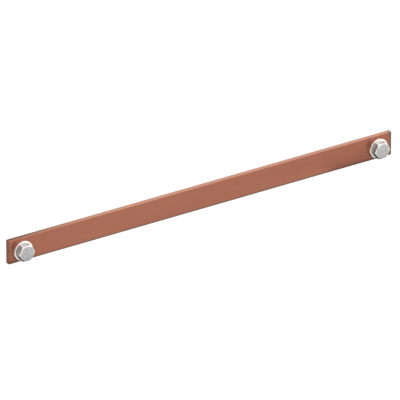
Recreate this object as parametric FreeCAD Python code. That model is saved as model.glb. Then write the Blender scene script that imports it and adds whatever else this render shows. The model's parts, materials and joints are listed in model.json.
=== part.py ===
import FreeCAD, Part
import math
import os

# Copper busbar: a flat copper bar on its long edge, fixed by a hex bolt with a flat washer near each end.
# X runs along the bar, Z is up across its width, and the bolt heads face -Y.
# The origin is the centre of the bar's back face, which lies against what the bar is fixed to.

# Bar, in millimetres
BAR_LENGTH = 450.0
BAR_WIDTH = 25.0
BAR_THICKNESS = 5.0
BAR_EDGE_RADIUS = 0.4
BAR_END_CHAMFER = 0.2

# Fixing holes: the bolt axis from the bar's end and below its centre line
HOLE_INSET = 16.0
HOLE_DROP = 1.5
HOLE_CLEARANCE = 0.5
HOLE_DEBURR = 0.4

# Hex bolt: each margin is how far a round face of the head lies inside its flats
THREAD_DIAMETER = 10.0
GRIP_UNDERSIZE = 0.5
BOLT_LENGTH = 20.0
TIP_CHAMFER = 1.0
HEAD_ACROSS_FLATS = 16.0
HEAD_HEIGHT = 6.4
HEAD_FACE_MARGIN = 0.4
HEAD_CHAMFER_DEGREES = 30.0
BEARING_FACE_MARGIN = 0.6
BEARING_FACE_HEIGHT = 0.4
HEX_SIDES = 6

# Flat washer
WASHER_DIAMETER = 21.0
WASHER_THICKNESS = 2.0
WASHER_BORE_CLEARANCE = 0.25
WASHER_RIM_RADIUS = 0.4

# Places worked out from the sizes
thread_radius = THREAD_DIAMETER / 2
grip_radius = thread_radius - GRIP_UNDERSIZE
grip_length = WASHER_THICKNESS + BAR_THICKNESS
hole_radius = thread_radius + HOLE_CLEARANCE
bar_front_y = -BAR_THICKNESS
head_seat_y = bar_front_y - WASHER_THICKNESS
bolt_x = BAR_LENGTH / 2 - HOLE_INSET
bolt_z = -HOLE_DROP
to_back = FreeCAD.Vector(0, 1, 0)
to_front = FreeCAD.Vector(0, -1, 0)


def on_bolt_axis(x, y):
    """The point of a bolt's axis at the given depth."""
    return FreeCAD.Vector(x, y, bolt_z)


def only_solid(shape):
    """The one solid that a boolean leaves, without the seams between its flush faces."""
    return shape.removeSplitter().Solids[0]


def lies_in_end_face(edge):
    """True for an edge of the bar's outline at either end."""
    return all(math.isclose(abs(vertex.X), BAR_LENGTH / 2) for vertex in edge.Vertexes)


def runs_along_bar(edge):
    """True for one of the bar's four long edges."""
    return math.isclose(edge.Length, BAR_LENGTH)


def make_hole(x):
    """A through hole for a bolt, eased where it breaks out of each face of the bar."""
    hole = Part.makeCylinder(hole_radius, BAR_THICKNESS, on_bolt_axis(x, bar_front_y), to_back)
    for face_y, inward in ((bar_front_y, to_back), (0, to_front)):
        start = on_bolt_axis(x, face_y)
        easing = Part.makeCone(hole_radius + HOLE_DEBURR, hole_radius, HOLE_DEBURR, start, inward)
        hole = hole.fuse(easing)
    return hole


def make_busbar():
    """The copper bar: rounded long edges, lightly chamfered ends and a fixing hole near each end."""
    corner = FreeCAD.Vector(-BAR_LENGTH / 2, bar_front_y, -BAR_WIDTH / 2)
    bar = Part.makeBox(BAR_LENGTH, BAR_THICKNESS, BAR_WIDTH, corner)
    bar = bar.makeFillet(BAR_EDGE_RADIUS, [edge for edge in bar.Edges if runs_along_bar(edge)])
    bar = bar.makeChamfer(BAR_END_CHAMFER, [edge for edge in bar.Edges if lies_in_end_face(edge)])
    for x in (-bolt_x, bolt_x):
        bar = bar.cut(make_hole(x))
    return only_solid(bar)


def make_washer(x):
    """A flat washer against the bar's front face, with the rim of its outer face rounded by the punch."""
    disc = Part.makeCylinder(WASHER_DIAMETER / 2, WASHER_THICKNESS, on_bolt_axis(x, bar_front_y), to_front)
    front_rim = [edge for edge in disc.Edges if math.isclose(edge.CenterOfMass.y, head_seat_y)]
    disc = disc.makeFillet(WASHER_RIM_RADIUS, front_rim)
    bore_radius = thread_radius + WASHER_BORE_CLEARANCE
    bore = Part.makeCylinder(bore_radius, WASHER_THICKNESS, on_bolt_axis(x, bar_front_y), to_front)
    return only_solid(disc.cut(bore))


def make_hex_prism(x, back_y, height):
    """A hexagonal prism towards the front from back_y, with a flat at the top and at the bottom."""
    corner_radius = HEAD_ACROSS_FLATS / 2 / math.cos(math.pi / HEX_SIDES)
    corners = []
    for side in range(HEX_SIDES + 1):
        angle = 2 * math.pi * side / HEX_SIDES
        spoke = FreeCAD.Vector(math.cos(angle), 0, math.sin(angle)) * corner_radius
        corners.append(on_bolt_axis(x, back_y) + spoke)
    return Part.Face(Part.makePolygon(corners)).extrude(to_front * height)


def make_head(x):
    """The hex head: a round bearing face below, and corners turned off by a cone at the front."""
    bearing_radius = HEAD_ACROSS_FLATS / 2 - BEARING_FACE_MARGIN
    seat = on_bolt_axis(x, head_seat_y)
    bearing_face = Part.makeCylinder(bearing_radius, BEARING_FACE_HEIGHT, seat, to_front)
    prism = make_hex_prism(x, head_seat_y - BEARING_FACE_HEIGHT, HEAD_HEIGHT - BEARING_FACE_HEIGHT)
    face_radius = HEAD_ACROSS_FLATS / 2 - HEAD_FACE_MARGIN
    cone_spread = HEAD_HEIGHT / math.tan(math.radians(HEAD_CHAMFER_DEGREES))
    chamfer_cone = Part.makeCone(face_radius + cone_spread, face_radius, HEAD_HEIGHT, seat, to_front)
    return prism.common(chamfer_cone).fuse(bearing_face)


def make_bolt(x):
    """A hex bolt: a plain grip through washer and bar, then a threaded tail with a chamfered tip."""
    grip = Part.makeCylinder(grip_radius, grip_length, on_bolt_axis(x, head_seat_y), to_back)
    thread_length = BOLT_LENGTH - grip_length - TIP_CHAMFER
    thread = Part.makeCylinder(thread_radius, thread_length, on_bolt_axis(x, 0), to_back)
    tip_start = on_bolt_axis(x, thread_length)
    tip = Part.makeCone(thread_radius, thread_radius - TIP_CHAMFER, TIP_CHAMFER, tip_start, to_back)
    return only_solid(make_head(x).fuse(grip).fuse(thread).fuse(tip))


pieces = {"busbar": make_busbar()}
for side, x in (("left", -bolt_x), ("right", bolt_x)):
    pieces[f"bolt_{side}"] = make_bolt(x)
    pieces[f"washer_{side}"] = make_washer(x)

os.makedirs("parts", exist_ok=True)
for node, solid in pieces.items():
    solid.exportStep(f"parts/{node}.step")
    box = solid.optimalBoundingBox()
    print(f"{node}: {box.XLength:.2f} x {box.YLength:.2f} x {box.ZLength:.2f} mm, {solid.Volume:.1f} mm3")
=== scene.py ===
# %% [markdown]
# # A copper busbar and its two bolts
# A flat copper bar stands on its long edge. Near each end a hex bolt with a flat washer goes through it.
# The solids come from the CAD frame, which gives every size and place, and this file adds the looks.
# X runs along the bar, Z is up, the bolt heads face -Y, and lengths are in metres.

import json
import math

import bpy
import numpy as np
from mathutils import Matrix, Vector


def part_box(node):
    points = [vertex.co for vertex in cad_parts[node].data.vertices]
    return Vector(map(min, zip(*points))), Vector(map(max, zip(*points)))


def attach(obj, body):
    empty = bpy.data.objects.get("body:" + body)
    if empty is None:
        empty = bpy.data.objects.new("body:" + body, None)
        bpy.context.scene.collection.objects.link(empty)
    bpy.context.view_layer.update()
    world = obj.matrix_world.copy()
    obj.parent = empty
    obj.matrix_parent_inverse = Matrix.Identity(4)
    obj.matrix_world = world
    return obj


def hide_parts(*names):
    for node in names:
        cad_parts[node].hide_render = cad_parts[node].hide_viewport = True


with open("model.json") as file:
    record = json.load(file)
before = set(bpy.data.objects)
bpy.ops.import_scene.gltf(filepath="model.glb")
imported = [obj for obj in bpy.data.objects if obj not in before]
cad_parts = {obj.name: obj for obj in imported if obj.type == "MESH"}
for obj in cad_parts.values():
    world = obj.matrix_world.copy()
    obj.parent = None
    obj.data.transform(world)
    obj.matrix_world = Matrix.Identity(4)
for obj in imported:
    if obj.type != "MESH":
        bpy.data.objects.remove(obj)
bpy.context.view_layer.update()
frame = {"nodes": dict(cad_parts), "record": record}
bar_low, bar_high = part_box("busbar")
MM = 0.001


def in_mm(lengths):
    """Lengths in metres as rounded millimetres, for printing."""
    return [round(length / MM, 3) for length in lengths]


print("CAD nodes:", ", ".join(sorted(frame["nodes"])))
print("bar, in mm:", in_mm(bar_high - bar_low))

# %% [markdown]
# ## The camera
# The photograph is taken from the front left and above, through a lens so long that the bar's edges stay
# almost parallel. A camera can be turned by hand until the picture fits, but then nobody can see why it
# stands where it does. Here an angle, a distance and the number of pixels that a metre of the bar fills are
# given. The lens follows from the last two, and the camera slides sideways in its own image plane until the
# middle of the bar's front lands on the right pixel, so no lens shift is needed.

# %% Camera at the photograph's view
IMAGE_PIXELS = 400
VIEW_AZIMUTH_DEGREES = -33.78
VIEW_ELEVATION_DEGREES = 25.5
CAMERA_DISTANCE = 9.0
PIXELS_PER_METRE = 1022.7
FRONT_MIDDLE_PIXEL = (202.46, 197.41)

azimuth = math.radians(VIEW_AZIMUTH_DEGREES)
elevation = math.radians(VIEW_ELEVATION_DEGREES)
to_camera = Vector((
    math.sin(azimuth) * math.cos(elevation),
    -math.cos(azimuth) * math.cos(elevation),
    math.sin(elevation),
))
to_right = Vector((math.cos(azimuth), math.sin(azimuth), 0.0))
to_top = to_camera.cross(to_right)
front_middle = Vector((0.0, bar_low.y, 0.0))
slide_right = (IMAGE_PIXELS / 2 - FRONT_MIDDLE_PIXEL[0]) / PIXELS_PER_METRE
slide_up = (FRONT_MIDDLE_PIXEL[1] - IMAGE_PIXELS / 2) / PIXELS_PER_METRE

lens = bpy.data.cameras.new("camera")
lens.lens = PIXELS_PER_METRE * CAMERA_DISTANCE / IMAGE_PIXELS * lens.sensor_width
camera = bpy.data.objects.new("camera", lens)
bpy.context.scene.collection.objects.link(camera)
camera.location = front_middle + to_camera * CAMERA_DISTANCE + to_right * slide_right + to_top * slide_up
camera.rotation_mode = "QUATERNION"
camera.rotation_quaternion = (-to_camera).to_track_quat("-Z", "Y")
bpy.context.scene.camera = camera
bpy.context.scene.view_settings.view_transform = "Standard"
print(f"lens {lens.lens:.0f} mm at {CAMERA_DISTANCE} m")

# %% [markdown]
# ## A skin over rings of points
# Bolts and washers are turned or headed parts, so both are rings of points strung along an axis. One helper
# puts four-sided faces between neighbouring rings. A bolt has two ends, each closed by a fan of triangles,
# and a washer's last ring joins its first. Edges where faces meet at more than a set angle are marked sharp,
# so that curves stay smooth and the flats of the hexagon stay flat under the light.

# %% Mesh helpers
SHARP_EDGE_DEGREES = 32.0


def skin(name, points, marks, is_ring=False):
    """Join a grid of points, shaped (rings, steps round, 3), into one closed piece.

    Ring i meets ring i + 1, and the last step meets the first. Ends are closed by fans round their middles,
    or, on a ring, the last ring meets the first. Each mark is an array with one value a point.
    """
    rings, steps = points.shape[:2]
    index = np.arange(rings * steps).reshape(rings, steps)
    beside = np.roll(index, -1, axis=1)
    quads = np.stack([index, np.roll(index, -1, axis=0), np.roll(beside, -1, axis=0), beside], axis=-1)
    spans = rings if is_ring else rings - 1
    faces = quads[:spans].reshape(-1, 4).tolist()
    corners = points.reshape(-1, 3)
    if not is_ring:
        corners = np.vstack([corners, points[0].mean(axis=0), points[-1].mean(axis=0)])
        front = np.full(steps, rings * steps)
        back = front + 1
        faces += np.stack([front, index[0], beside[0]], axis=-1).tolist()
        faces += np.stack([back, beside[-1], index[-1]], axis=-1).tolist()
    mesh = bpy.data.meshes.new(name)
    mesh.from_pydata(corners.tolist(), [], faces)
    for mark, values in marks.items():
        flat = values.ravel()
        if not is_ring:
            flat = np.append(flat, [values[0].mean(), values[-1].mean()])
        mesh.attributes.new(mark, "FLOAT", "POINT").data.foreach_set("value", flat.astype(np.float32))
    mesh.shade_smooth()
    mesh.set_sharp_from_angle(angle=math.radians(SHARP_EDGE_DEGREES))
    piece = bpy.data.objects.new(name, mesh)
    bpy.context.scene.collection.objects.link(piece)
    print(f"{name}: {len(mesh.vertices)} points, {len(mesh.polygons)} faces")
    return piece


def place_rings(middle, radius, depth, angle):
    """Points at (middle x + radius cos angle, depth, middle z + radius sin angle)."""
    across = middle.x + radius * np.cos(angle)
    up = middle.z + radius * np.sin(angle)
    return np.stack(np.broadcast_arrays(across, depth, up), axis=-1)


print(f"edges over {SHARP_EDGE_DEGREES:.0f} deg stay sharp")

# %% [markdown]
# ## The head of a hex bolt
# A bolt is headed cold from wire: the die leaves slightly round corners, a cone takes the points off the
# front, and a thin round bearing face stands under the head. A hexagon is easily made with six flat faces,
# but then every corner is a knife edge that catches no light. Here the distance from the axis to the wall is
# a formula of the angle, so the corners are truly round, and rings follow the scalloped line where the cone
# meets the flats.

# %% Hexagon with rounded corners
HEX_SIDES = 6
SIXTH = 2 * math.pi / HEX_SIDES
STEPS_PER_SIDE = 32
CORNER_CROWDING = 1.8


def angles_crowded_at_corners():
    """Angles round the axis that gather at the corners: within half a side, angle = half * t ** crowding."""
    t = np.linspace(-1, 1, STEPS_PER_SIDE, endpoint=False)
    from_corner = np.sign(t) * np.abs(t) ** CORNER_CROWDING * SIXTH / 2
    corners = np.arange(HEX_SIDES) * SIXTH
    return (corners[:, None] + from_corner).ravel()


def hexagon_radius(angle, across_flats, corner_radius):
    """Distance from the axis to a hexagon's wall at each angle, with a flat at the top, and the angle
    from the nearest corner.

    With c that angle, the flat is at apothem / cos(30 deg - c). The corner's arc has its centre at
    distance m on the corner's line, and is at m cos c + sqrt(r^2 - (m sin c)^2).
    """
    from_corner = np.abs((angle + SIXTH / 2) % SIXTH - SIXTH / 2)
    apothem = across_flats / 2
    flat = apothem / np.cos(SIXTH / 2 - from_corner)
    middle = (apothem - corner_radius) / math.cos(SIXTH / 2)
    inside_root = corner_radius ** 2 - (middle * np.sin(from_corner)) ** 2
    arc = middle * np.cos(from_corner) + np.sqrt(np.maximum(inside_root, 0))
    touch = SIXTH / 2 - math.atan(middle * math.sin(SIXTH / 2) / apothem)
    return np.where(from_corner < touch, arc, flat), from_corner


angles = angles_crowded_at_corners()
print(f"{len(angles)} steps round, {np.degrees(np.diff(angles).min()):.2f} deg apart at a corner")

# %% Rings of the head
HEAD_FACE_MARGIN = 0.4 * MM
HEAD_CHAMFER = math.radians(30.0)
BEARING_FACE_MARGIN = 0.6 * MM
BEARING_FACE_HEIGHT = 0.4 * MM
HEAD_CORNER_RADIUS = 0.45 * MM
HEAD_EDGE_SOFTNESS = 0.14 * MM
INNER_RING_SHARE = 0.4
WEAR_WIDTH = 0.7 * MM
FACE_RIM_WEAR = 0.6
CHAMFER_WEAR = 0.8
LOWER_EDGE_WEAR = 0.7
UNDERSIDE_WEAR = 0.5


def whole_rings(values):
    """One row of values a ring, from a number or an array for each ring."""
    return np.array([np.broadcast_to(value, angles.shape) for value in values], dtype=float)


def head_rings(front_y, seat_y, across_flats):
    """Radius, depth and wear of the rings from the middle of the head's front to its bearing face.

    On the cone, depth = front + (radius - face radius) tan 30 deg. Wear is 1 on an edge and 0 a little away:
    across a corner it is exp(-(distance / wear width)^2).
    """
    wall, from_corner = hexagon_radius(angles, across_flats, HEAD_CORNER_RADIUS)
    face = across_flats / 2 - HEAD_FACE_MARGIN
    bearing = across_flats / 2 - BEARING_FACE_MARGIN
    soft = HEAD_EDGE_SOFTNESS
    soft_out = soft * math.cos(HEAD_CHAMFER)
    soft_back = soft * math.sin(HEAD_CHAMFER)
    shoulder = front_y + (wall - face) * math.tan(HEAD_CHAMFER)
    underside = seat_y - BEARING_FACE_HEIGHT
    corner_wear = np.exp(-(from_corner * across_flats / 2 / WEAR_WIDTH) ** 2)
    rings = [
        (face * INNER_RING_SHARE, front_y, 0),
        (face - WEAR_WIDTH, front_y, 0),
        (face - soft, front_y, FACE_RIM_WEAR),
        (face + soft_out, front_y + soft_back, CHAMFER_WEAR),
        (wall - soft_out, shoulder - soft_back, 1),
        (wall, shoulder + soft, 1),
        (wall, shoulder + WEAR_WIDTH, corner_wear),
        (wall, underside - WEAR_WIDTH, corner_wear),
        (wall, underside - soft, LOWER_EDGE_WEAR),
        (wall - soft, underside, UNDERSIDE_WEAR),
        (bearing, underside, 0),
        (bearing, seat_y, 0),
    ]
    return [whole_rings(column) for column in zip(*rings)]


print(f"head corners {HEAD_CORNER_RADIUS / MM:.2f} mm round, edges worn {WEAR_WIDTH / MM:.1f} mm wide")

# %% [markdown]
# ## The thread
# The tail behind the bar is an M10 coarse thread, rolled with a pitch of 1.5 mm, so its crests stand out
# from the plain grip and its roots are sunk into it. A helix can be swept along a curve, but then its ends
# need caps. A grid in angle and depth is simpler: the thread's height is a function of depth / pitch plus
# angle / turn, which is one number that repeats along a right-hand helix.

# %% Rings of the grip, the thread and the tip
THREAD_PITCH = 1.5 * MM
DEPTH_PER_PITCH = 0.6134
THREAD_DEPTH = DEPTH_PER_PITCH * THREAD_PITCH
CREST_HALF_SHARE = 1 / 16
FLANK_SLOPE = math.sqrt(3)
THREAD_ROW = 0.075 * MM
GRIP_UNDERSIZE = 0.5 * MM
TIP_CHAMFER = 1.0 * MM
DIMPLE_RADIUS = 2.6 * MM
DIMPLE_FLOOR_RADIUS = 0.78 * MM
DIMPLE_DEPTH = 0.3 * MM
# Groove mark in the tip's dimple, which paints shade there.
DIMPLE_SHADE = 0.3


def thread_rings(seat_y, start_y, tip_y, thread_radius):
    """Radius, depth and groove of the rings from the grip to the tip.

    With s the distance from the middle of a crest, in pitches, radius = outer - pitch * sqrt 3 * (s - 1/16),
    held between the outer and the root radius. The thread rises from the grip over one pitch, as
    3 t^2 - 2 t^3. The tip is cut by a 45 degree cone and has a shallow dimple in its middle.
    """
    grip = thread_radius - GRIP_UNDERSIZE
    run_in = start_y - THREAD_PITCH
    rows = int((tip_y - run_in) / THREAD_ROW)
    depth = np.linspace(run_in, tip_y, rows)[:, None]
    phase = depth / THREAD_PITCH + angles / (2 * math.pi)
    from_crest = np.abs(phase % 1 - 0.5)
    sunk = np.clip((from_crest - CREST_HALF_SHARE) * THREAD_PITCH * FLANK_SLOPE, 0, THREAD_DEPTH)
    rise = np.clip((depth - run_in) / THREAD_PITCH, 0, 1)
    rise = rise * rise * (3 - 2 * rise)
    radius = grip + (thread_radius - sunk - grip) * rise
    radius = np.minimum(radius, thread_radius - TIP_CHAMFER + (tip_y - depth))
    groove = sunk / THREAD_DEPTH * rise
    return (
        whole_rings([grip, *radius, DIMPLE_RADIUS, DIMPLE_FLOOR_RADIUS]),
        whole_rings([seat_y, *depth, tip_y, tip_y - DIMPLE_DEPTH]),
        whole_rings([0, *groove, 0, DIMPLE_SHADE]),
    )


print(f"thread {THREAD_DEPTH / MM:.2f} mm deep, with {THREAD_PITCH / THREAD_ROW:.0f} rings a turn")

# %% [markdown]
# ## Two bolts
# Head and tail of a bolt are one piece of steel. Two meshes pushed into each other would leave hidden faces
# inside, so the rings of the head and of the tail are stacked and get one skin. Each bolt takes its place
# from the box of its CAD node, stands for that node in the picture, and rides on the same body.

# %% Bolts at both ends
bolt_pattern = next(mount for mount in frame["record"]["mounts"] if "stud_r_mm" in mount["dims"])
stud_radius = bolt_pattern["dims"]["stud_r_mm"] * MM
bolts = []
for side in ("left", "right"):
    low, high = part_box(f"bolt_{side}")
    washer_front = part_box(f"washer_{side}")[0].y
    head_radius, head_depth, wear = head_rings(low.y, washer_front, high.z - low.z)
    tail_radius, tail_depth, groove = thread_rings(washer_front, bar_high.y, high.y, stud_radius)
    radius = np.vstack([head_radius, tail_radius])
    depth = np.vstack([head_depth, tail_depth])
    points = place_rings((low + high) / 2, radius, depth, angles)
    marks = {
        "edge_wear": np.vstack([wear, np.zeros_like(groove)]),
        "thread_groove": np.vstack([np.zeros_like(wear), groove]),
    }
    bolt = skin(f"hex_bolt_{side}", points, marks)
    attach(bolt, "root")
    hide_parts(f"bolt_{side}")
    bolts.append(bolt)

# %% [markdown]
# ## The washers
# A flat washer is punched from strip. The punch draws the front edges round before the metal tears, and
# leaves the back edges sharp. A cylinder with a hole has none of that, so the washer's section is drawn as
# four quarter arcs, large in front and small behind, and the section is carried round the bolt's axis.

# %% Washers at both ends
WASHER_STEPS = 144
ARC_POINTS = 7
FRONT_OUTER_ROLL = 0.45 * MM
FRONT_INNER_ROLL = 0.3 * MM
BACK_EDGE_ROLL = 0.06 * MM
BORE_CLEARANCE = 0.25 * MM


def washer_section(bore, outer, front_y, back_y):
    """Radius and depth of the points round a washer's section, each as a column.

    The corners are front outer, back outer, back inner and front inner. Each is a quarter arc, with its
    points at centre + roll * (cos turn, sin turn), and straight runs join the arcs.
    """
    roll = np.array([FRONT_OUTER_ROLL, BACK_EDGE_ROLL, BACK_EDGE_ROLL, FRONT_INNER_ROLL])
    centre_radius = np.array([outer, outer, bore, bore]) + roll * np.array([-1, -1, 1, 1])
    centre_depth = np.array([front_y, back_y, back_y, front_y]) + roll * np.array([1, -1, -1, 1])
    turn = (np.arange(-1, 3)[:, None] + np.linspace(0, 1, ARC_POINTS)) * math.pi / 2
    radius = centre_radius[:, None] + roll[:, None] * np.cos(turn)
    depth = centre_depth[:, None] + roll[:, None] * np.sin(turn)
    return radius.reshape(-1, 1), depth.reshape(-1, 1)


washer_angles = np.linspace(0, 2 * math.pi, WASHER_STEPS, endpoint=False)
washers = []
for side in ("left", "right"):
    low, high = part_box(f"washer_{side}")
    washer_radius = (high.x - low.x) / 2
    radius, depth = washer_section(stud_radius + BORE_CLEARANCE, washer_radius, low.y, high.y)
    points = place_rings((low + high) / 2, radius, depth, washer_angles)
    marks = {"from_axis": np.broadcast_to(radius, points.shape[:2])}
    washer = skin(f"flat_washer_{side}", points, marks, is_ring=True)
    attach(washer, "root")
    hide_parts(f"washer_{side}")
    washers.append(washer)

# %% [markdown]
# ## Shader sums as Python sums
# A finish is a sum of patterns: clouds, lines and masks. Nodes could be wired one by one, but the sums are
# then hard to read. A small class wraps a socket, so that `0.3 + 0.1 * lines` adds the Math nodes itself.
# Three helpers then start a finish, add a noise at its real size and turn heights into a bump.

# %% Wire class


class Wire:
    """A socket of a node tree. Arithmetic on wires adds Math nodes."""

    def __init__(self, tree, socket=None):
        self.tree = tree
        self.socket = socket

    def node(self, kind, settings=None, inputs=None, output=0):
        """Add a node: first its settings, then a value or a wire for each input; returns one output."""
        made = self.tree.nodes.new(kind)
        for name, value in (settings or {}).items():
            setattr(made, name, value)
        for key, value in (inputs or {}).items():
            if isinstance(value, Wire):
                value.feed(made.inputs[key])
            else:
                made.inputs[key].default_value = value
        return Wire(self.tree, made.outputs[output])

    def beside(self, output):
        """Another output of the node that this wire comes from."""
        return Wire(self.tree, self.socket.node.outputs[output])

    def feed(self, socket):
        """Lead this wire into an input."""
        self.tree.links.new(self.socket, socket)

    def maths(self, operation, *terms):
        """One Math node; each term is a wire or a number."""
        return self.node("ShaderNodeMath", {"operation": operation}, dict(enumerate(terms)))

    def __add__(self, other):
        return self.maths("ADD", self, other)

    def __sub__(self, other):
        return self.maths("SUBTRACT", self, other)

    def __rsub__(self, other):
        return self.maths("SUBTRACT", other, self)

    def __mul__(self, other):
        return self.maths("MULTIPLY", self, other)

    def __pow__(self, other):
        return self.maths("POWER", self, other)

    def __abs__(self):
        return self.maths("ABSOLUTE", self)

    __radd__ = __add__
    __rmul__ = __mul__

    def ramp(self, start, end):
        """0 below start and 1 above end, or the other way round, with a smooth rise between."""
        limits = {"Value": self, "From Min": start, "From Max": end}
        return self.node("ShaderNodeMapRange", {"interpolation_type": "SMOOTHSTEP"}, limits)

    def clamped(self):
        """This wire, held between 0 and 1."""
        return self.node("ShaderNodeClamp", inputs={"Value": self})

    def blend(self, first, second):
        """A colour that goes from first to second as this wire goes from 0 to 1."""
        factor, colour_a, colour_b, colour_out = 0, 6, 7, 2
        inputs = {factor: self, colour_a: first, colour_b: second}
        return self.node("ShaderNodeMix", {"data_type": "RGBA"}, inputs, output=colour_out)


print("a wire takes + - * ** and abs, with wires or numbers")

# %% Finish helpers
NOISE_MIDDLE = 0.5
BUMP_DISTANCE = 0.03 * MM


def new_finish(name, constants):
    """A material with these constants on its shader, a wire to start from, and the shader's inputs."""
    material = bpy.data.materials.new(name)
    material.use_nodes = True
    shader = material.node_tree.nodes["Principled BSDF"].inputs
    for socket, value in constants.items():
        shader[socket].default_value = value
    return material, Wire(material.node_tree), shader


def noise(place, per_metre, detail, rough):
    """Soft random values from 0 to 1; per_metre is how many lumps go into a metre along X, Y and Z."""
    stretch = {"Vector": place, "Scale": per_metre}
    stretched = place.node("ShaderNodeMapping", {"vector_type": "POINT"}, stretch)
    inputs = {"Vector": stretched, "Scale": 1.0, "Detail": detail, "Roughness": rough}
    return place.node("ShaderNodeTexNoise", {"noise_dimensions": "3D"}, inputs)


def add_bump(height, strength, shader):
    """Tilt the shader's normal by a pattern of heights."""
    inputs = {"Strength": strength, "Distance": BUMP_DISTANCE, "Height": height}
    height.node("ShaderNodeBump", inputs=inputs).feed(shader["Normal"])


print(f"bump heights go up to {BUMP_DISTANCE / MM} mm")

# %% [markdown]
# ## Drawn copper
# Busbar copper is drawn through a die, which leaves fine lines along its length, and then dulls in the air
# in soft clouds. Hands and tools rub the upper edge smoother and paler, and its pale colour is also a painted
# highlight of the light on the top. The lower edge and the right end are darkened with painted shade. The
# ends are sawn, so they are rougher, with saw lines, and their darker colour is partly painted shade. A ring
# of painted shade darkens the copper round each washer. One colour would look like painted plastic. The
# patterns here use Object coordinates, so every lump and line has its real size in metres.

# %% Copper patterns
CLOUDS_PER_METRE = (14.0, 40.0, 40.0)
BROAD_LINES_PER_METRE = (5.0, 420.0, 420.0)
FINE_LINES_PER_METRE = (16.0, 2200.0, 2200.0)
SAW_LINES_PER_METRE = (900.0, 160.0, 2600.0)
SPECKS_PER_METRE = (420.0, 420.0, 420.0)
SPECK_EDGES = (0.66, 0.76)
copper, start, shader = new_finish("drawn_copper", {"Metallic": 1.0})
place = start.node("ShaderNodeTexCoord", output="Object")
along = start.node("ShaderNodeSeparateXYZ", inputs={0: place}, output="X")
up = along.beside("Z")
cloud = noise(place, CLOUDS_PER_METRE, detail=4.0, rough=0.55)
broad_lines = noise(place, BROAD_LINES_PER_METRE, detail=3.0, rough=0.5)
fine_lines = noise(place, FINE_LINES_PER_METRE, detail=2.0, rough=0.5)
saw_lines = noise(place, SAW_LINES_PER_METRE, detail=2.0, rough=0.6)
specks = noise(place, SPECKS_PER_METRE, detail=2.0, rough=0.6).ramp(*SPECK_EDGES)
print("copper patterns:", len(copper.node_tree.nodes), "nodes")

# %% Where the copper is rubbed, sawn and dull, and where highlight and shade are painted
RUBBED_AND_HIGHLIT_WIDTH = 0.8 * MM
BOTTOM_SHADE_WIDTH = 3.0 * MM
END_SHADE_LENGTH = 6.0 * MM
SAWN_BORDER = 0.24 * MM
WASHER_SHADE_WIDTH = 2.5 * MM
half_length = bar_high.x
half_width = bar_high.z
# Paler top edge: rubbed metal, and a painted highlight of the light on the bar's top.
rubbed_and_highlit = up.ramp(half_width - RUBBED_AND_HIGHLIT_WIDTH, half_width)
# Painted shade along the lower edge and at the right end of the bar.
bottom_shade = up.ramp(BOTTOM_SHADE_WIDTH - half_width, -half_width)
end_shade = along.ramp(half_length - END_SHADE_LENGTH, half_length)
painted_shade = start.maths("MAXIMUM", bottom_shade, end_shade)
# The sawn ends get saw lines, roughness and a darker colour that is partly painted shade.
sawn = abs(along).ramp(half_length - SAWN_BORDER, half_length - SAWN_BORDER / 2)
# A ring of painted shade darkens the copper round each washer.
low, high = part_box("bolt_right")
right_bolt = (low + high) / 2
from_bolt = ((abs(along) - right_bolt.x) ** 2 + (up - right_bolt.z) ** 2) ** 0.5
washer_shade = from_bolt.ramp(washer_radius + WASHER_SHADE_WIDTH, washer_radius)
print("copper patterns and places:", len(copper.node_tree.nodes), "nodes")

# %% Copper colour
COPPER = (0.351, 0.1355, 0.087, 1.0)
COPPER_TARNISH_AND_SHADE = (0.299, 0.110, 0.070, 1.0)
# Colour of the top edge: rubbed copper with a painted highlight.
COPPER_RUBBED_AND_HIGHLIT = (0.54, 0.285, 0.193, 1.0)
# Colour of the painted shade on the lower edge and the right end.
COPPER_SHADE = (0.15, 0.11, 0.083, 1.0)
# Darker colour of the sawn ends, partly painted shade.
COPPER_SAWN_AND_SHADED = (0.18, 0.083, 0.057, 1.0)
TARNISH_LEVEL = 0.25
CLOUD_TARNISH = 0.9
LINE_TARNISH = 0.7
SPECK_TARNISH = 0.35
# Share of painted shade round the washers.
WASHER_SHADE_SHARE = 0.12
RUBBED_AND_HIGHLIT_SHARE = 0.45
PAINTED_SHADE_SHARE = 0.9
SAW_LINE_SHARE = 0.5
tarnish_and_washer_shade = TARNISH_LEVEL + CLOUD_TARNISH * (cloud - NOISE_MIDDLE)
tarnish_and_washer_shade = tarnish_and_washer_shade + LINE_TARNISH * (broad_lines - NOISE_MIDDLE)
# Painted shade round the washers is added to the tarnish.
tarnish_and_washer_shade = tarnish_and_washer_shade + SPECK_TARNISH * specks + WASHER_SHADE_SHARE * washer_shade
colour = tarnish_and_washer_shade.clamped().blend(COPPER, COPPER_TARNISH_AND_SHADE)
# Painted highlight, with rubbing, on the top edge.
colour = (RUBBED_AND_HIGHLIT_SHARE * rubbed_and_highlit).blend(colour, COPPER_RUBBED_AND_HIGHLIT)
# Painted shade on the lower edge and the right end.
colour = (PAINTED_SHADE_SHARE * painted_shade).blend(colour, COPPER_SHADE)
# Sawn ends darker, partly with painted shade.
sawn_and_shaded_colour = (SAW_LINE_SHARE * saw_lines).blend(COPPER_SAWN_AND_SHADED, COPPER_TARNISH_AND_SHADE)
sawn.blend(colour, sawn_and_shaded_colour).feed(shader["Base Color"])
print("copper patterns, places and colour:", len(copper.node_tree.nodes), "nodes")

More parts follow.
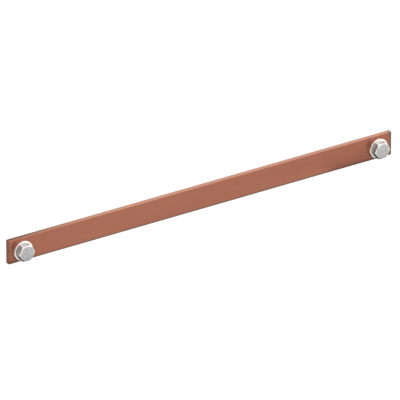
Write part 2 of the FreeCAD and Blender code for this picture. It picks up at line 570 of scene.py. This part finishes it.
# %% Copper roughness and lines
COPPER_ROUGHNESS = 0.33
FINE_LINE_ROUGHNESS = 0.14
CLOUD_ROUGHNESS = 0.12
RUBBED_SMOOTHNESS = 0.05
SAWN_ROUGHNESS = 0.2
FINE_LINE_HEIGHT = 0.5
BROAD_LINE_HEIGHT = 0.3
SAW_LINE_HEIGHT = 0.8
SPECK_SINK = 0.25
COPPER_BUMP = 0.35
roughness = COPPER_ROUGHNESS + FINE_LINE_ROUGHNESS * (fine_lines - NOISE_MIDDLE)
roughness = roughness + CLOUD_ROUGHNESS * (cloud - NOISE_MIDDLE)
roughness = roughness - RUBBED_SMOOTHNESS * rubbed_and_highlit + SAWN_ROUGHNESS * sawn
roughness.feed(shader["Roughness"])
height = FINE_LINE_HEIGHT * fine_lines + BROAD_LINE_HEIGHT * broad_lines
height = height + SAW_LINE_HEIGHT * sawn * saw_lines - SPECK_SINK * specks
add_bump(height, COPPER_BUMP, shader)
bar = frame["nodes"]["busbar"]
for bar_slot in bar.material_slots:
    bar_slot.material = copper
print("whole copper finish:", len(copper.node_tree.nodes), "nodes on", len(bar.material_slots), "slot")

# %% [markdown]
# ## Zinc on the bolts
# The bolts are steel with a thin coat of zinc: grey, softly mottled, and smoother and brighter on edges
# that spanners and other bolts in the box have rubbed. The roots of the thread and the dimple in the tip are
# darkened with painted shade. Edges can be found from the mesh's curvature while it renders, but that is a
# guess. The mesh carries where its edges and grooves are, so the shader only reads those marks.

# %% Bolt patterns
MOTTLE_PER_METRE = (380.0, 380.0, 380.0)
GRAIN_PER_METRE = (2600.0, 2600.0, 2600.0)
DENTS_PER_METRE = (900.0, 900.0, 900.0)
DENT_EDGES = (0.62, 0.72)
WEAR_EDGES = (0.3, 0.62)
bolt_zinc, start, shader = new_finish("bolt_zinc", {"Metallic": 1.0})
place = start.node("ShaderNodeTexCoord", output="Object")
edge_wear = start.node("ShaderNodeAttribute", {"attribute_name": "edge_wear"}, output="Fac")
thread_groove = start.node("ShaderNodeAttribute", {"attribute_name": "thread_groove"}, output="Fac")
mottle = noise(place, MOTTLE_PER_METRE, detail=4.0, rough=0.6)
grain = noise(place, GRAIN_PER_METRE, detail=2.0, rough=0.5)
dents = noise(place, DENTS_PER_METRE, detail=1.0, rough=0.5).ramp(*DENT_EDGES)
patchy_wear = edge_wear * mottle.ramp(*WEAR_EDGES)
print("bolt patterns:", len(bolt_zinc.node_tree.nodes), "nodes")

# %% Bolt colour, roughness and dents
ZINC = (0.522, 0.515, 0.507, 1.0)
ZINC_DULL = (0.387, 0.381, 0.375, 1.0)
ZINC_RUBBED = (0.85, 0.84, 0.825, 1.0)
# Painted shade in the roots of the thread and in the tip's dimple.
ZINC_ROOT_SHADE = (0.22, 0.205, 0.19, 1.0)
DULL_EDGES = (0.35, 0.7)
ROOT_SHADE_SHARE = 0.85
BOLT_ROUGHNESS = 0.46
MOTTLE_ROUGHNESS = 0.16
GRAIN_ROUGHNESS = 0.1
ROOT_ROUGHNESS = 0.2
WEAR_SMOOTHNESS = 0.06
GRAIN_HEIGHT = 0.4
MOTTLE_HEIGHT = 0.3
DENT_SINK = 0.5
BOLT_BUMP = 0.3
colour = mottle.ramp(*DULL_EDGES).blend(ZINC, ZINC_DULL)
colour = patchy_wear.blend(colour, ZINC_RUBBED)
# Painted shade in the thread's roots and the tip's dimple.
(ROOT_SHADE_SHARE * thread_groove).blend(colour, ZINC_ROOT_SHADE).feed(shader["Base Color"])
roughness = BOLT_ROUGHNESS + MOTTLE_ROUGHNESS * (mottle - NOISE_MIDDLE)
roughness = roughness + GRAIN_ROUGHNESS * (grain - NOISE_MIDDLE)
roughness = roughness + ROOT_ROUGHNESS * thread_groove - WEAR_SMOOTHNESS * patchy_wear
roughness.feed(shader["Roughness"])
add_bump(GRAIN_HEIGHT * grain + MOTTLE_HEIGHT * mottle - DENT_SINK * dents, BOLT_BUMP, shader)
for bolt in bolts:
    bolt.data.materials.append(bolt_zinc)
print("whole bolt finish:", len(bolt_zinc.node_tree.nodes), "nodes on", len(bolts), "bolts")

# %% [markdown]
# ## Bright zinc on the washers
# The washers are brighter than the bolts, because they are tumbled before they are plated. Their faces have
# short fine scratches in every direction, a dull ring where the turning head has rubbed, and a torn, matt
# rim behind the rounded edge that the punch left. Scratches can be drawn one by one, but two noises, each
# drawn out in another direction, are enough at this size.

# %% Washer patterns
WASHER_MOTTLE_PER_METRE = (300.0, 300.0, 300.0)
SCRATCHES_PER_METRE = (2600.0, 600.0, 350.0)
CROSS_SCRATCHES_PER_METRE = (350.0, 600.0, 2600.0)
TORN_HEIGHT = 1.3 * MM
TORN_FADE = 0.3 * MM
RUBBED_RING_RADIUS = 9.0 * MM
RUBBED_RING_FADE = 1.2 * MM
washer_zinc, start, shader = new_finish("washer_zinc", {"Metallic": 1.0})
place = start.node("ShaderNodeTexCoord", output="Object")
from_front = start.node("ShaderNodeSeparateXYZ", inputs={0: place}, output="Y")
from_axis = start.node("ShaderNodeAttribute", {"attribute_name": "from_axis"}, output="Fac")
mottle = noise(place, WASHER_MOTTLE_PER_METRE, detail=3.0, rough=0.55)
scratches = noise(place, SCRATCHES_PER_METRE, detail=2.0, rough=0.6)
cross_scratches = noise(place, CROSS_SCRATCHES_PER_METRE, detail=2.0, rough=0.6)
torn_start = bar_low.y - TORN_HEIGHT
at_back = from_front.ramp(torn_start, torn_start + TORN_FADE)
torn = at_back * from_axis.ramp(washer_radius - TORN_FADE, washer_radius - TORN_FADE / 3)
rubbed_ring = from_axis.ramp(RUBBED_RING_RADIUS, RUBBED_RING_RADIUS - RUBBED_RING_FADE)
print("washer patterns:", len(washer_zinc.node_tree.nodes), "nodes")

# %% Washer colour, roughness and scratches
BRIGHT_ZINC = (0.97, 0.93, 0.89, 1.0)
BRIGHT_ZINC_DULL = (0.80, 0.765, 0.73, 1.0)
MOTTLE_DULLNESS = 0.7
MOTTLE_DULL_START = 0.4
TORN_DULLNESS = 0.5
RUBBED_RING_DULLNESS = 0.35
WASHER_ROUGHNESS = 0.24
WASHER_MOTTLE_ROUGHNESS = 0.14
SCRATCH_ROUGHNESS = 0.08
TORN_ROUGHNESS = 0.2
SCRATCH_HEIGHT = 0.4
WASHER_BUMP = 0.25
dull = MOTTLE_DULLNESS * (mottle - MOTTLE_DULL_START)
dull = dull + TORN_DULLNESS * torn + RUBBED_RING_DULLNESS * rubbed_ring
dull.clamped().blend(BRIGHT_ZINC, BRIGHT_ZINC_DULL).feed(shader["Base Color"])
roughness = WASHER_ROUGHNESS + WASHER_MOTTLE_ROUGHNESS * (mottle - NOISE_MIDDLE)
roughness = roughness + SCRATCH_ROUGHNESS * (scratches - NOISE_MIDDLE) + TORN_ROUGHNESS * torn
roughness.feed(shader["Roughness"])
add_bump(SCRATCH_HEIGHT * scratches + SCRATCH_HEIGHT * cross_scratches, WASHER_BUMP, shader)
for washer in washers:
    washer.data.materials.append(washer_zinc)
print("whole washer finish:", len(washer_zinc.node_tree.nodes), "nodes on", len(washers), "washers")

# %% [markdown]
# ## Floor and background
# The bar is shown as it hangs on its supports, well above a white floor. The floor is a plain matt surface,
# so it takes the object's soft shadow. More light would make it white, but the metal too bright. Instead,
# for the camera, and for what polished metal mirrors, a little light of its own brings it up to white, and
# the world behind it is white in the same way.

# %% Panel helper


def flat_panel(name, finish, middle, width_way, height_way):
    """A flat rectangle of the stage: middle + u * width way + v * height way, u and v from -1 to 1."""
    u, v = np.meshgrid([-1, 1], [-1, 1])
    spread = u[..., None] * np.array(width_way) + v[..., None] * np.array(height_way)
    mesh = bpy.data.meshes.new(name)
    mesh.from_pydata((np.array(middle) + spread).reshape(-1, 3).tolist(), [], [(0, 1, 3, 2)])
    mesh.materials.append(finish)
    panel = bpy.data.objects.new(name, mesh)
    bpy.context.scene.collection.objects.link(panel)
    print(f"{name}: {2 * Vector(width_way).length:.3f} x {2 * Vector(height_way).length:.3f} m")
    return panel


# %% Floor
FLOOR_DROP = 0.35
FLOOR_HALF = 8.0
FLOOR_COLOUR = (0.86, 0.86, 0.86, 1.0)
FLOOR_LIFT = 0.7
MATT_ROUGHNESS = 0.9
BLACK = (0.0, 0.0, 0.0, 1.0)
WHITE = (1.0, 1.0, 1.0, 1.0)


def seen_directly(start):
    """1 for rays from the camera and for mirrored or refracted ones, 0 for the light on matt surfaces."""
    rays = start.node("ShaderNodeLightPath", output="Is Camera Ray")
    either = rays.maths("MAXIMUM", rays, rays.beside("Is Glossy Ray"))
    return rays.maths("MAXIMUM", either, rays.beside("Is Transmission Ray"))


paper_constants = {
    "Base Color": FLOOR_COLOUR,
    "Roughness": MATT_ROUGHNESS,
    "Specular IOR Level": 0.0,
    "Emission Strength": FLOOR_LIFT,
}
paper, start, shader = new_finish("floor_paper", paper_constants)
seen_directly(start).blend(BLACK, WHITE).feed(shader["Emission Color"])
flat_panel("floor", paper, (0.0, 0.0, -FLOOR_DROP), (FLOOR_HALF, 0.0, 0.0), (0.0, FLOOR_HALF, 0.0))

# %% World
WORLD_LIGHT = 0.15
world = bpy.data.worlds.new("studio")
bpy.context.scene.world = world
world.use_nodes = True
background = world.node_tree.nodes["Background"].inputs
background["Color"].default_value = WHITE
world_strength = WORLD_LIGHT + (1 - WORLD_LIGHT) * seen_directly(Wire(world.node_tree))
world_strength.feed(background["Strength"])
print(f"world: white where it is seen, and {WORLD_LIGHT} of that as light")

# %% [markdown]
# ## Lamps
# Metal shows what stands around it, so its light is built from what it mirrors. One strong lamp would leave
# a hard glint and dark metal everywhere else. An even light from the whole upper half is mirrored in every
# upward face, which gives the light line along the bar's top. A softbox low at the front left catches the
# chamfers of the bolt heads, and one at the front right lights the tops of the heads by way of the washers.

# %% Softboxes
LEFT_DIRECTION = (-0.42, -0.80, -0.42)
LEFT_DISTANCE = 0.75
LEFT_SIDE = 0.35
LEFT_LEVEL = 0.44
RIGHT_DIRECTION = (0.47, -0.75, 0.46)
RIGHT_DISTANCE = 1.5
RIGHT_SIDE = 0.8
RIGHT_LEVEL = 1.6


def softbox(name, direction, distance, side, radiance):
    """A square lamp that faces the bar. Its power is radiance * pi * area."""
    lamp = bpy.data.lights.new(name, "AREA")
    lamp.size = side
    lamp.energy = radiance * math.pi * side * side
    box = bpy.data.objects.new(name, lamp)
    bpy.context.scene.collection.objects.link(box)
    toward = Vector(direction).normalized()
    box.location = toward * distance
    box.rotation_mode = "QUATERNION"
    box.rotation_quaternion = (-toward).to_track_quat("-Z", "Y")
    box.visible_camera = False
    print(f"{name}: {lamp.energy:.2f} W, {side} m wide, at {distance} m")


softbox("softbox_front_left", LEFT_DIRECTION, LEFT_DISTANCE, LEFT_SIDE, LEFT_LEVEL)
softbox("softbox_front_right", RIGHT_DIRECTION, RIGHT_DISTANCE, RIGHT_SIDE, RIGHT_LEVEL)

# %% Light from above
KEY_DIRECTION = (0.2, 0.0, 1.0)
KEY_LEVEL = 0.32
KEY_SPREAD_DEGREES = 180.0
key = bpy.data.lights.new("overhead", "SUN")
key.energy = KEY_LEVEL * math.pi
key.angle = math.radians(KEY_SPREAD_DEGREES)
key_lamp = bpy.data.objects.new("overhead", key)
bpy.context.scene.collection.objects.link(key_lamp)
key_lamp.rotation_mode = "QUATERNION"
key_lamp.rotation_quaternion = (-Vector(KEY_DIRECTION)).to_track_quat("-Z", "Y")
print(f"overhead: {key.energy:.2f} W/m2, spread over {KEY_SPREAD_DEGREES:.0f} deg")

# %% [markdown]
# ## Black cards
# Dark metal is made in the same way as bright metal: a photographer puts black card where the metal looks.
# A darker finish would be dark from every side. A small card close below each bolt darkens the head's lower
# left flat, one at the left darkens the upper left flats, and one behind lets the light line fade towards
# the left end. Only mirrored rays see the cards, and the ones below are small, so that from other sides the
# bar mirrors them no further than next to the bolts.

# %% Cards below and at the left
FELT_COLOUR = (0.01, 0.01, 0.01, 1.0)
BELOW_DROP = 0.034
BELOW_HALF_LENGTH = 0.032
BELOW_HALF_DEPTH = 0.042
FLAG_MIDDLE = (-1.9, -2.25, 0.5)
FLAG_WIDTH_WAY = (0.85, -0.7, 0.0)
FLAG_HEIGHT_WAY = (0.0, 0.0, 0.4)
felt = new_finish("card_felt", {"Base Color": FELT_COLOUR, "Specular IOR Level": 0.0})[0]
bar_middle_y = (bar_low.y + bar_high.y) / 2


def card(name, middle, width_way, height_way):
    """A flat black card, which only mirrored rays see."""
    panel = flat_panel(name, felt, middle, width_way, height_way)
    panel.visible_camera = False
    panel.visible_diffuse = False
    panel.visible_shadow = False


for side in ("left", "right"):
    low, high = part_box(f"bolt_{side}")
    bolt_middle = (low + high) / 2
    below_middle = (bolt_middle.x, bar_middle_y, bolt_middle.z - BELOW_DROP)
    card(f"card_below_{side}", below_middle, (BELOW_HALF_LENGTH, 0.0, 0.0), (0.0, BELOW_HALF_DEPTH, 0.0))
card("card_left", FLAG_MIDDLE, FLAG_WIDTH_WAY, FLAG_HEIGHT_WAY)

# %% Card behind the left end
BEHIND_DISTANCE = 0.6
BEHIND_REACH = 0.03
BEHIND_HALF_WIDTH = 0.12
BEHIND_HALF_HEIGHT = 0.1
# The bar's top mirrors the camera's line of sight this way, and the card stands square to it.
mirrored = Vector((-to_camera.x, -to_camera.y, to_camera.z))
left_end_top = Vector((bar_low.x, bar_middle_y, bar_high.z))
behind_middle = left_end_top + mirrored * BEHIND_DISTANCE + to_right * (BEHIND_REACH - BEHIND_HALF_WIDTH)
behind_height_way = mirrored.cross(to_right) * BEHIND_HALF_HEIGHT
card("card_behind", behind_middle, to_right * BEHIND_HALF_WIDTH, behind_height_way)
